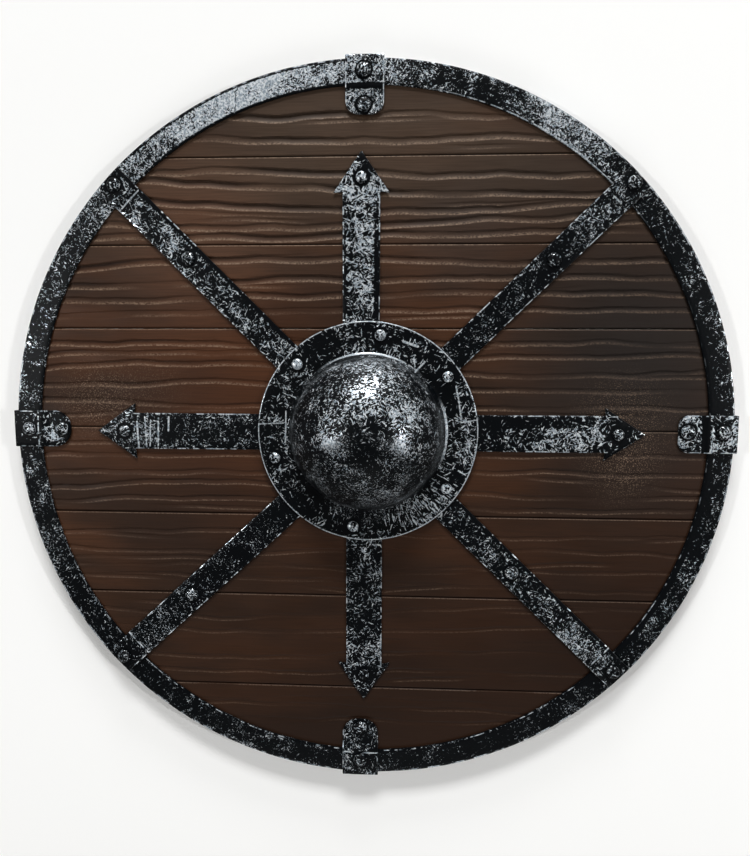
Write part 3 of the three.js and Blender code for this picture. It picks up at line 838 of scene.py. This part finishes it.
mouth = NECK_RADIUS - BOSS_SHEET
flange_outline = [(mouth - 1 * MM, flange_bottom + NECK_HEIGHT), (mouth, flange_bottom),
                  (FLANGE_RADIUS, flange_bottom), (FLANGE_RADIUS, flange_top),
                  (NECK_RADIUS, flange_top), (NECK_RADIUS - NECK_LEAN, flange_top + NECK_HEIGHT)]
flange_corners = rounded(flange_outline, FOLD_ROUND, closed=False)[1:-1]
first_bottom, last_top = 5, 15
section = [*reversed(dome_arc(BOSS_SHEET)), *flange_corners[:first_bottom]]
section += spread(flange_corners[first_bottom - 1], flange_corners[first_bottom], 12)[1:]
section += flange_corners[first_bottom:last_top]
section += spread(flange_corners[last_top - 1], flange_corners[last_top], 14)[1:]
section += [*flange_corners[last_top:], *dome_arc(0)]
boss = spun("boss_shell", section, BOSS_CENTRE, 160)
ruffle(boss, 0.28 * MM, 14 * MM)
smooth(boss, 50)
finish_piece(boss, "boss", boss_iron)
print("boss:", len(boss.data.polygons), "faces")

# %% [markdown]
# The rim is a channel of 1.5 mm sheet with softly folded edges, open towards the planks.

# %% Make the rim
inner = SHIELD_RADIUS - RIM_WIDTH
wall = SHIELD_RADIUS - RIM_SHEET
rim_outline = [(SHIELD_RADIUS, 0), (SHIELD_RADIUS, rim_top), (inner, rim_top), (inner, rim_top - RIM_SHEET),
               (wall, rim_top - RIM_SHEET), (wall, RIM_SHEET), (inner, RIM_SHEET), (inner, 0)]
rim_section = []
for start, end in zip(rim_outline, rim_outline[1:] + rim_outline[:1]):
    pieces = max(1, round((Vector(end) - Vector(start)).length / (4 * MM)))
    rim_section += spread(start, end, pieces)
rim = spun("rim_channel", rounded(rim_section, FOLD_ROUND, 2), (0, 0, 0), 360)
ruffle(rim, 0.12 * MM, 16 * MM)
smooth(rim, 50)
finish_piece(rim, "rim", rim_iron)
print("rim:", len(rim.data.polygons), "faces")

# %% [markdown]
# ## Straps
# Every strap is cut from the same 2 mm sheet and lies along a line that runs out from the
# middle of the shield, a little to one side because it was set by hand. Each is modelled
# along +X and then turned into its place, and the turn is applied to the mesh.

# %% Where the straps lie
STRAP_TUCK = 8 * MM
STRAP_STRAY = 5 * MM
ARROW_WIDTH = 31 * MM
DIAGONAL_WIDTH = 25 * MM
CLAMP_WIDTH = 31.5 * MM
ARROWS = [
    {"name": "east", "turn": 0, "aside": 0.26, "head": 0.98, "tip_gap": 1.125},
    {"name": "north", "turn": 90, "aside": 0.96, "head": 1.02, "tip_gap": 1.165},
    {"name": "west", "turn": 180, "aside": -0.18, "head": 1.055, "tip_gap": 1},
    {"name": "south", "turn": 270, "aside": -0.44, "head": 0.99, "tip_gap": 0.79},
]
CLAMPS = [
    {"name": "east", "turn": 0, "aside": 0.44, "length": 0.99, "corner": 0.75},
    {"name": "north", "turn": 90, "aside": 0.44, "length": 0.957, "corner": 0.92},
    {"name": "west", "turn": 180, "aside": -0.44, "length": 1.026, "corner": 1.28},
    {"name": "south", "turn": 270, "aside": -1.04, "length": 1.072, "corner": 1.12},
]
DIAGONALS = [
    {"name": "northeast", "turn": 44.2, "aside": -0.62, "width": 0.94},
    {"name": "northwest", "turn": 135.3, "aside": 0.32, "width": 1.02},
    {"name": "southwest", "turn": 222.7, "aside": 0.24, "width": 1.03},
    {"name": "southeast", "turn": 315.8, "aside": 0.4, "width": 0.975},
]


def strap_start(strap):
    turn = math.radians(strap["turn"])
    return BOSS_CENTRE.x * math.cos(turn) + BOSS_CENTRE.y * math.sin(turn) + FLANGE_RADIUS - STRAP_TUCK


def lay(piece, strap):
    """Turns a strap drawn along +X into its place on the shield."""
    turn = math.radians(strap["turn"])
    aside = strap["aside"] * STRAP_STRAY
    settle(piece, turn, (-aside * math.sin(turn), aside * math.cos(turn), 0))


def divide(piece, start, end, step):
    """Cuts a strap across every step, so that it can be uneven."""
    edit(piece)
    for i in range(1, round((end - start) / step)):
        bisect((start + i * step, 0, 0), (1, 0, 0))
    done()


def worn_edges(piece, width=0.55 * MM):
    modify(piece, "BEVEL", width=width, segments=2, limit_method="ANGLE",
           angle_limit=math.radians(50))


def divide_along(piece, sides):
    """Cuts a strap along its length at each distance from its middle line."""
    edit(piece)
    for side in sides:
        bisect((0, side, 0), (0, 1, 0))
    done()


# %% [markdown]
# Each strap took the brush in its own way. The top arrow is nearly white and the bottom
# left strap nearly black, and some keep a plain dark band along one edge. "side" is the
# distance in millimetres from a strap's middle line, and "ring" from the middle of the
# shield. Silver also gathers in a broken line along both edges and across the joggle.

# %% Paint of the straps
STRAP_PAINT = {
    "arrow_north": {"crowd": 0.03, "wide": 1.35, "long": 5.2,
                    "spots": [(5, 236, 28, -0.35), (5, 165, 50, 0.2), (3, 205, 16, 0.2)],
                    "bare": [("side", -17, -11, 0.7, 5, 130, 90), ("side", 13, 17, 0.5, 5, 130, 90)]},
    "arrow_east": {"crowd": -0.22, "wide": 1.5, "long": 5,
                   "spots": [(165, -5, 55, 0.38), (232, 0, 16, 0.3)],
                   "bare": [("side", 5, 14, 0.3, 150, 0, 70)]},
    "arrow_west": {"crowd": -0.23, "wide": 1.0, "long": 3.0,
                   "spots": [(-205, 3, 24, 0.25), (-186, 0, 16, 0.25)],
                   "marks": [((-171, 13), (-171.5, 1), 1.3), ((-180, 12), (-181, -14), 1.1),
                             ((-187, 10), (-188, -12), 0.9), ((-192, 13), (-191, -13), 0.9),
                             ((-199, 9), (-198, -13), 1.3)]},
    "arrow_south": {"crowd": -0.16, "wide": 1.0, "long": 4.2, "spots": [(2, -190, 24, 0.05)]},
    "diagonal_northeast": {"crowd": -0.28, "wide": 0.95, "long": 3, "spots": [(190, 188, 50, 0.15)]},
    "diagonal_northwest": {"crowd": -0.06, "wide": 1.2, "long": 4.4,
                           "bare": [("side", -13, -10, 1.0)], "edges": 0.3},
    "diagonal_southwest": {"crowd": -0.3, "wide": 0.85, "long": 2, "spots": [(-180, -170, 50, 0.1)]},
    "diagonal_southeast": {"crowd": -0.16, "wide": 1.05, "long": 3.4,
                           "spots": [(180, -180, 50, 0.15)],
                           "bare": [("side", 10, 13, 0.8)], "edges": 0.3},
    "clamp_north": {"crowd": 0.1, "wide": 1.0, "long": 2.6,
                    "bare": [("ring", 281, 284.5, 0.9)], "edges": 0.8},
    "clamp_east": {"crowd": 0.05, "wide": 1.6, "long": 4.4, "spots": [(300, 2, 14, 0.2)],
                   "bare": [("ring", 279, 284, 1.2)]},
    "clamp_west": {"crowd": -0.28, "wide": 1.5, "long": 4.4, "spots": [(-271, -3, 14, 0.6)]},
    "clamp_south": {"crowd": -0.2, "wide": 1.0, "long": 2.8, "spots": [(-11, -263, 10, 0.4)]},
}
EDGE_LINE = 0.7
EDGE_REACH = {"arrow": 95, "diagonal": 400, "clamp": 400}
JOGGLE_LINE = {"diagonal": [("ring", 278.5, 0.9, 0.6)], "clamp": [("ring", 286, 0.9, 0.6)]}
HALFWAY_OUT = 160


def strap_paint(kind, strap, width):
    paint = STRAP_PAINT[f"{kind}_{strap['name']}"]
    turn, aside = strap["turn"], strap["aside"] * STRAP_STRAY / MM
    out = Vector((math.cos(math.radians(turn)), math.sin(math.radians(turn))))
    near = (*(HALFWAY_OUT * out), EDGE_REACH[kind])
    edge = width / MM / 2 - 0.5
    lines = [("side", side, EDGE_LINE, paint.get("edges", 0.45), *near) for side in (edge, -edge)]
    lines += JOGGLE_LINE.get(kind, [])
    own_rivets = [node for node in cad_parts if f"{kind}_rivet_{strap['name']}" in node]
    return painted_iron(f"black_enamelled_iron_{kind}_{strap['name']}", paint["crowd"],
                        paint.get("spots", ()), wide=paint["wide"], long=paint["long"],
                        rings=[(*(centre_of(node).xy / MM), 7.2) for node in own_rivets],
                        measures={"side": lambda n: n.across(turn, aside),
                                  "ring": lambda n: n.away(0, 0)},
                        bare=paint.get("bare", ()), lines=lines, marks=paint.get("marks", ()))


def finish_strap(piece, kind, strap, width):
    ruffle(piece, 0.16 * MM, 9 * MM)
    smooth(piece)
    lay(piece, strap)
    node = f"{kind}_{strap['name']}" if kind == "clamp" else f"{kind}_strap_{strap['name']}"
    finish_piece(piece, node, strap_paint(kind, strap, width))
    return piece


# %% [markdown]
# An arrow strap is a flat plate with seven corners. A filled circle with seven corners is
# the nearest primitive, and once its corners are on the outline it is extruded upwards.

# %% Make the arrow straps
ARROW_HEAD_WIDTH = 46 * MM
ARROW_HEAD_LENGTH = 34 * MM
ARROW_BARB_SWEEP = 1.5 * MM
ARROW_TIP_GAP = 24 * MM
CLAMP_LENGTH = 46 * MM


def make_arrow(arrow, clamp):
    start = strap_start(arrow)
    tip = SHIELD_RADIUS - clamp["length"] * CLAMP_LENGTH - arrow["tip_gap"] * ARROW_TIP_GAP
    barb = tip - ARROW_HEAD_LENGTH
    shaft, head = ARROW_WIDTH / 2, arrow["head"] * ARROW_HEAD_WIDTH / 2
    neck = barb + ARROW_BARB_SWEEP
    outline = [(start, -shaft), (neck, -shaft), (barb, -head), (tip, 0), (barb, head),
               (neck, shaft), (start, shaft)]
    bpy.ops.mesh.primitive_circle_add(vertices=len(outline), radius=10 * MM, fill_type="NGON")
    piece = new_piece(f"arrow_{arrow['name']}_plate")
    for vertex, (x, y) in zip(piece.data.vertices, outline):
        vertex.co = (x, y, strap_bottom)
    edit(piece)
    extrude((0, 0, strap_top - strap_bottom))
    done()
    face_outwards(piece)
    worn_edges(piece)
    divide(piece, start, tip, 5 * MM)
    divide_along(piece, [side * MM for side in (-11, -5.5, 0, 5.5, 11)])
    return finish_strap(piece, "arrow", arrow, ARROW_WIDTH)


arrow_plates = [make_arrow(arrow, clamp) for arrow, clamp in zip(ARROWS, CLAMPS)]
print("arrow straps:", len(arrow_plates))

# %% [markdown]
# The diagonal straps and the clamps step up from the planks onto the rim. A smith sets
# this joggle in a bar by offsetting it, and here the bar is cut across twice, and all that
# lies beyond is lifted. The bends are then bevelled round.

# %% Bars with a joggle
JOGGLE_RUN = 4 * MM
JOGGLE_CLEARANCE = 2 * MM
JOGGLE_ROUND = 1.2 * MM
joggle_end = SHIELD_RADIUS - RIM_WIDTH - JOGGLE_CLEARANCE
joggle_start = joggle_end - JOGGLE_RUN


def joggled_bar(name, start, end, width):
    middle_place = ((start + end) / 2, 0, (strap_bottom + strap_top) / 2)
    bpy.ops.mesh.primitive_cube_add(size=1, location=middle_place,
                                    scale=(end - start, width, STRAP_SHEET))
    piece = new_piece(name)
    edit(piece)
    bisect((joggle_start, 0, 0), (1, 0, 0))
    bisect((joggle_end, 0, 0), (1, 0, 0))
    pick(piece, "VERT", lambda v: v.co.x > joggle_end - NEAR)
    bpy.ops.transform.translate(value=(0, 0, raised_bottom - strap_bottom))
    bends = (joggle_start, joggle_end)
    pick(piece, "EDGE", lambda edge: min(abs(middle(edge).x - bend) for bend in bends) < NEAR
         and abs(run_of(edge).y) > width / 2)
    bpy.ops.mesh.bevel(offset=JOGGLE_ROUND, segments=4)
    done()
    return piece


# %% [markdown]
# A diagonal strap ends on the rim, trimmed to the shield's round edge: the ends of the bar
# are cut into a few strips and each corner is drawn in to the circle.

# %% Make the diagonal straps
DIAGONAL_INSET = 1.5 * MM


def make_diagonal(strap):
    start, end = strap_start(strap), SHIELD_RADIUS - DIAGONAL_INSET
    width = strap["width"] * DIAGONAL_WIDTH
    aside = strap["aside"] * STRAP_STRAY
    piece = joggled_bar(f"diagonal_{strap['name']}_bar", start, end, width)
    divide_along(piece, [share * width for share in (-0.36, -0.18, 0, 0.18, 0.36)])
    for vertex in piece.data.vertices:
        if vertex.co.x > end - NEAR:
            vertex.co.x = math.sqrt(end ** 2 - (vertex.co.y + aside) ** 2)
    worn_edges(piece)
    divide(piece, start, joggle_start - 2 * MM, 5 * MM)
    return finish_strap(piece, "diagonal", strap, width)


diagonal_bars = [make_diagonal(strap) for strap in DIAGONALS]
print("diagonal straps:", len(diagonal_bars))

# %% [markdown]
# A clamp has the same joggle, and its outer end is folded down over the edge of the rim.
# The last strip of its underside is extruded down to make the leg, and the two corners at
# its inner end are bevelled to large rounds.

# %% Make the clamps
CLAMP_CORNER = 12 * MM
CLAMP_LEG_RISE = 1.5 * MM
CLAMP_BEND = 1.5 * MM


def upright(edge):
    run = run_of(edge)
    return abs(run.z) > 1 * MM and run.xy.length < NEAR


def along_top(edge, outside):
    return all(v.co.x > outside - NEAR and v.co.z > raised_top - NEAR for v in edge.verts)


def make_clamp(clamp):
    start = SHIELD_RADIUS - clamp["length"] * CLAMP_LENGTH
    inside = SHIELD_RADIUS + FIT_GAP
    outside = inside + STRAP_SHEET
    piece = joggled_bar(f"clamp_{clamp['name']}_bar", start, outside, CLAMP_WIDTH)
    edit(piece)
    bisect((inside, 0, 0), (1, 0, 0))
    pick(piece, "FACE", lambda face: face.normal.z < -0.9 and middle(face).x > inside)
    extrude((0, 0, CLAMP_LEG_RISE - raised_bottom))
    pick(piece, "EDGE", lambda edge: along_top(edge, outside))
    bpy.ops.mesh.bevel(offset=CLAMP_BEND, segments=5)
    pick(piece, "EDGE", lambda edge: upright(edge) and middle(edge).x < start + NEAR)
    corner = min(clamp["corner"] * CLAMP_CORNER, CLAMP_WIDTH / 2 - NEAR)
    bpy.ops.mesh.bevel(offset=corner, segments=10)
    done()
    face_outwards(piece)
    worn_edges(piece)
    divide_along(piece, [side * MM for side in (-12, -8, -4, 0, 4, 8, 12)])
    divide(piece, start, joggle_start - 2 * MM, 4 * MM)
    return finish_strap(piece, "clamp", clamp, CLAMP_WIDTH)


clamp_bars = [make_clamp(clamp) for clamp in CLAMPS]
print("clamps:", len(clamp_bars))

# %% [markdown]
# ## Rivets
# A rivet has a domed head and a round shank that ends, with a small chamfer, behind the
# planks or flush inside the back of the rim. It is a turned shape again, so each size is
# spun once from half of its section.

# %% Make one rivet of each size
HEAD_ARC = 10
HEAD_RISE = 0.55
HEAD_FLAT = 0.12


def rivet_master(name, head, shank, seat, end):
    bottom = seat + FIT_GAP
    angles = [math.pi / 2 * i / HEAD_ARC for i in range(HEAD_ARC)]
    arc = [(head * math.cos(angle) ** 0.9,
            bottom + HEAD_RISE * head * (HEAD_FLAT + (1 - HEAD_FLAT) * math.sin(angle))) for angle in angles]
    profile = [(0.0, end), (shank * 0.8, end), (shank, end + 0.2 * shank), (shank, bottom),
               (head, bottom), *arc, (0.0, bottom + HEAD_RISE * head)]
    return spun(name, profile, (0, 0, 0), 32)


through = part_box("boss_rivet_1")[0].z
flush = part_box("clamp_rivet_east_outer")[0].z
masters = {
    "boss": rivet_master("rivet_master_boss", 4.7 * MM, 2.5 * MM, flange_top, through),
    "arrow": rivet_master("rivet_master_arrow", 4.8 * MM, 2.5 * MM, strap_top, through),
    "inner": rivet_master("rivet_master_inner", 5.8 * MM, 2.5 * MM, strap_top, through),
    "outer": rivet_master("rivet_master_outer", 5.8 * MM, 2.5 * MM, raised_top, flush),
    "root": rivet_master("rivet_master_root", 2.6 * MM, 1.5 * MM, strap_top, through),
}

# %% [markdown]
# A copy of its master goes to the place of every rivet, which the frame gives. Each is
# turned by another amount and its head hammered a little out of true, so no two look
# alike. The rivets of the boss, the two small ones and the top arrow's were rubbed bright.

# %% Copy them to their places
def kind_of(node):
    if "root" in node:
        return "root"
    return next(kind for kind in ("outer", "inner", "boss", "arrow") if kind in node)


RIVET_TURN = 2.4
rivet_nodes = sorted(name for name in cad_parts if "rivet" in name)
for number, node in enumerate(rivet_nodes):
    master = masters[kind_of(node)]
    rivet = master.copy()
    rivet.data = master.data.copy()
    rivet.name = rivet.data.name = f"{node}_domed"
    bpy.context.scene.collection.objects.link(rivet)
    settle(rivet, RIVET_TURN * number, (*centre_of(node).xy, 0))
    ruffle(rivet, 0.3 * MM, 4 * MM)
    smooth(rivet, 55)
    worn = kind_of(node) in ("boss", "root") or node == "arrow_rivet_north"
    finish_piece(rivet, node, rubbed_rivet if worn else dark_rivet)
for master in masters.values():
    bpy.data.objects.remove(master)
print("rivets:", len(rivet_nodes))

# %% [markdown]
# ## Grip
# The grip is one bar of wood: a thick handle behind the boss, with a thin flat tongue at
# each end that lies flush in the backs of the planks. It starts as a block the size of the
# handle, whose ends are extruded, thinned and extruded again.

# %% Make the grip
HANDLE_SLOPE = 12 * MM
HANDLE_HALF = HAND_HOLE_RADIUS - 4 * MM - HANDLE_SLOPE
HANDLE_ROUND = 7 * MM
HANDLE_WIDTH = 25 * MM
HANDLE_THICKNESS = 24 * MM
HANDLE_SWELL = 2 * MM


def make_grip():
    thickness = HANDLE_THICKNESS + HANDLE_SWELL
    bpy.ops.mesh.primitive_cube_add(size=1, location=(0, 0, plank_bottom + thickness / 2),
                                    scale=(2 * HANDLE_HALF, HANDLE_WIDTH + HANDLE_SWELL, thickness))
    piece = new_piece("grip_bar")
    for side in (-1, 1):
        edit(piece)
        pick(piece, "FACE", lambda face: face.normal.x * side > 0.9)
        extrude((side * HANDLE_SLOPE, 0, 0))
        scale = (1, TONGUE_WIDTH / (HANDLE_WIDTH + HANDLE_SWELL), TONGUE_THICKNESS / thickness)
        bpy.ops.transform.resize(value=scale, center_override=(0, 0, plank_bottom))
        reach = GRIP_LENGTH / 2 - HANDLE_HALF - HANDLE_SLOPE
        extrude((side * reach, 0, 0))
        done()
    edit(piece)
    pick(piece, "EDGE", lambda edge: abs(middle(edge).x) < 1 * MM and abs(run_of(edge).x) > HANDLE_HALF)
    bpy.ops.mesh.bevel(offset=HANDLE_ROUND, segments=6)
    done()
    worn_edges(piece, 0.8 * MM)
    settle(piece, GRIP_TURN, BOSS_CENTRE)
    smooth(piece, 45)
    finish_piece(piece, "grip", grip_wood)
    return piece


grip = make_grip()
print("grip:", len(grip.data.polygons), "faces")

# %% [markdown]
# ## Stage, light and camera
# The shield lies on a plain white sheet, a little greyer towards the top, where the light
# is strongest.

# %% Floor
bpy.ops.mesh.primitive_plane_add(size=12, location=(0, 0, 0))
floor = new_piece("floor_sheet")
sheet = Finish("white_paper_sheet")
paper = sheet.add(BLEND, sheet.add(RISE, sheet.y, -400, 400), "#fefefd", "#eeeeed")
sheet.add("OutputMaterial", sheet.add("BsdfPrincipled", named={
    "Base Color": paper, "Roughness": 0.9, "Specular IOR Level": 0.1}))
floor.data.materials.append(sheet.material)
floor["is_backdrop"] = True

# %% [markdown]
# Soft light comes mostly from beyond the top of the shield, where it rakes over the
# carving, and a weak sheet of light fills from the foot. Two small lamps at the sides give
# the dome its small highlights. Lamps are placed in metres.

# %% Lights
def area_light(name, place, watts, width, height=None):
    light = bpy.data.lights.new(name, "AREA")
    light.shape = "RECTANGLE" if height else "DISK"
    light.size = width
    light.size_y = height or width
    light.energy = watts
    lamp = bpy.data.objects.new(name, light)
    lamp.location = place
    lamp.rotation_euler = (-Vector(place)).to_track_quat("-Z", "Y").to_euler()
    bpy.context.scene.collection.objects.link(lamp)


area_light("top_window", (0.1, 3.7, 2.0), 152, 1.5, 0.7)
area_light("low_window", (0.1, 3.2, 0.75), 40, 1.2, 0.5)
area_light("foot_sheet", (0.1, -2.6, 1.8), 18, 2.6, 1.2)
area_light("left_lamp", (-1.35, 0.15, 1.6), 9, 0.14)
area_light("right_lamp", (1.55, 0.1, 1.4), 11, 0.14)
world = bpy.data.worlds.new("soft_room")
world.use_nodes = True
room = world.node_tree.nodes["Background"]
room.inputs["Color"].default_value = linear("#f7f5f1")
room.inputs["Strength"].default_value = 0.16
bpy.context.scene.world = world
bpy.context.scene.view_settings.view_transform = "Standard"
print("lights: 5")

# %% [markdown]
# The photograph was taken from close above the shield, a little right of the middle and
# above it, so the camera stands there too. Its lens and place come from the outlines of
# the rim and the flange, whose sizes and heights are known.

# %% Camera
LENS = 29.44
SENSOR_WIDTH = 36
CAMERA_PLACE = (38.9 * MM, 69.2 * MM, 606.0 * MM)
CAMERA_TURN = (-6.172, 3.112, 0.184)

camera_data = bpy.data.cameras.new("camera")
camera_data.lens = LENS
camera_data.sensor_width = SENSOR_WIDTH
camera_data.clip_start = 10 * MM
camera = bpy.data.objects.new("camera", camera_data)
camera.location = CAMERA_PLACE
camera.rotation_euler = [math.radians(angle) for angle in CAMERA_TURN]
bpy.context.scene.collection.objects.link(camera)
bpy.context.scene.camera = camera
print("camera:", [round(value, 3) for value in camera.location])
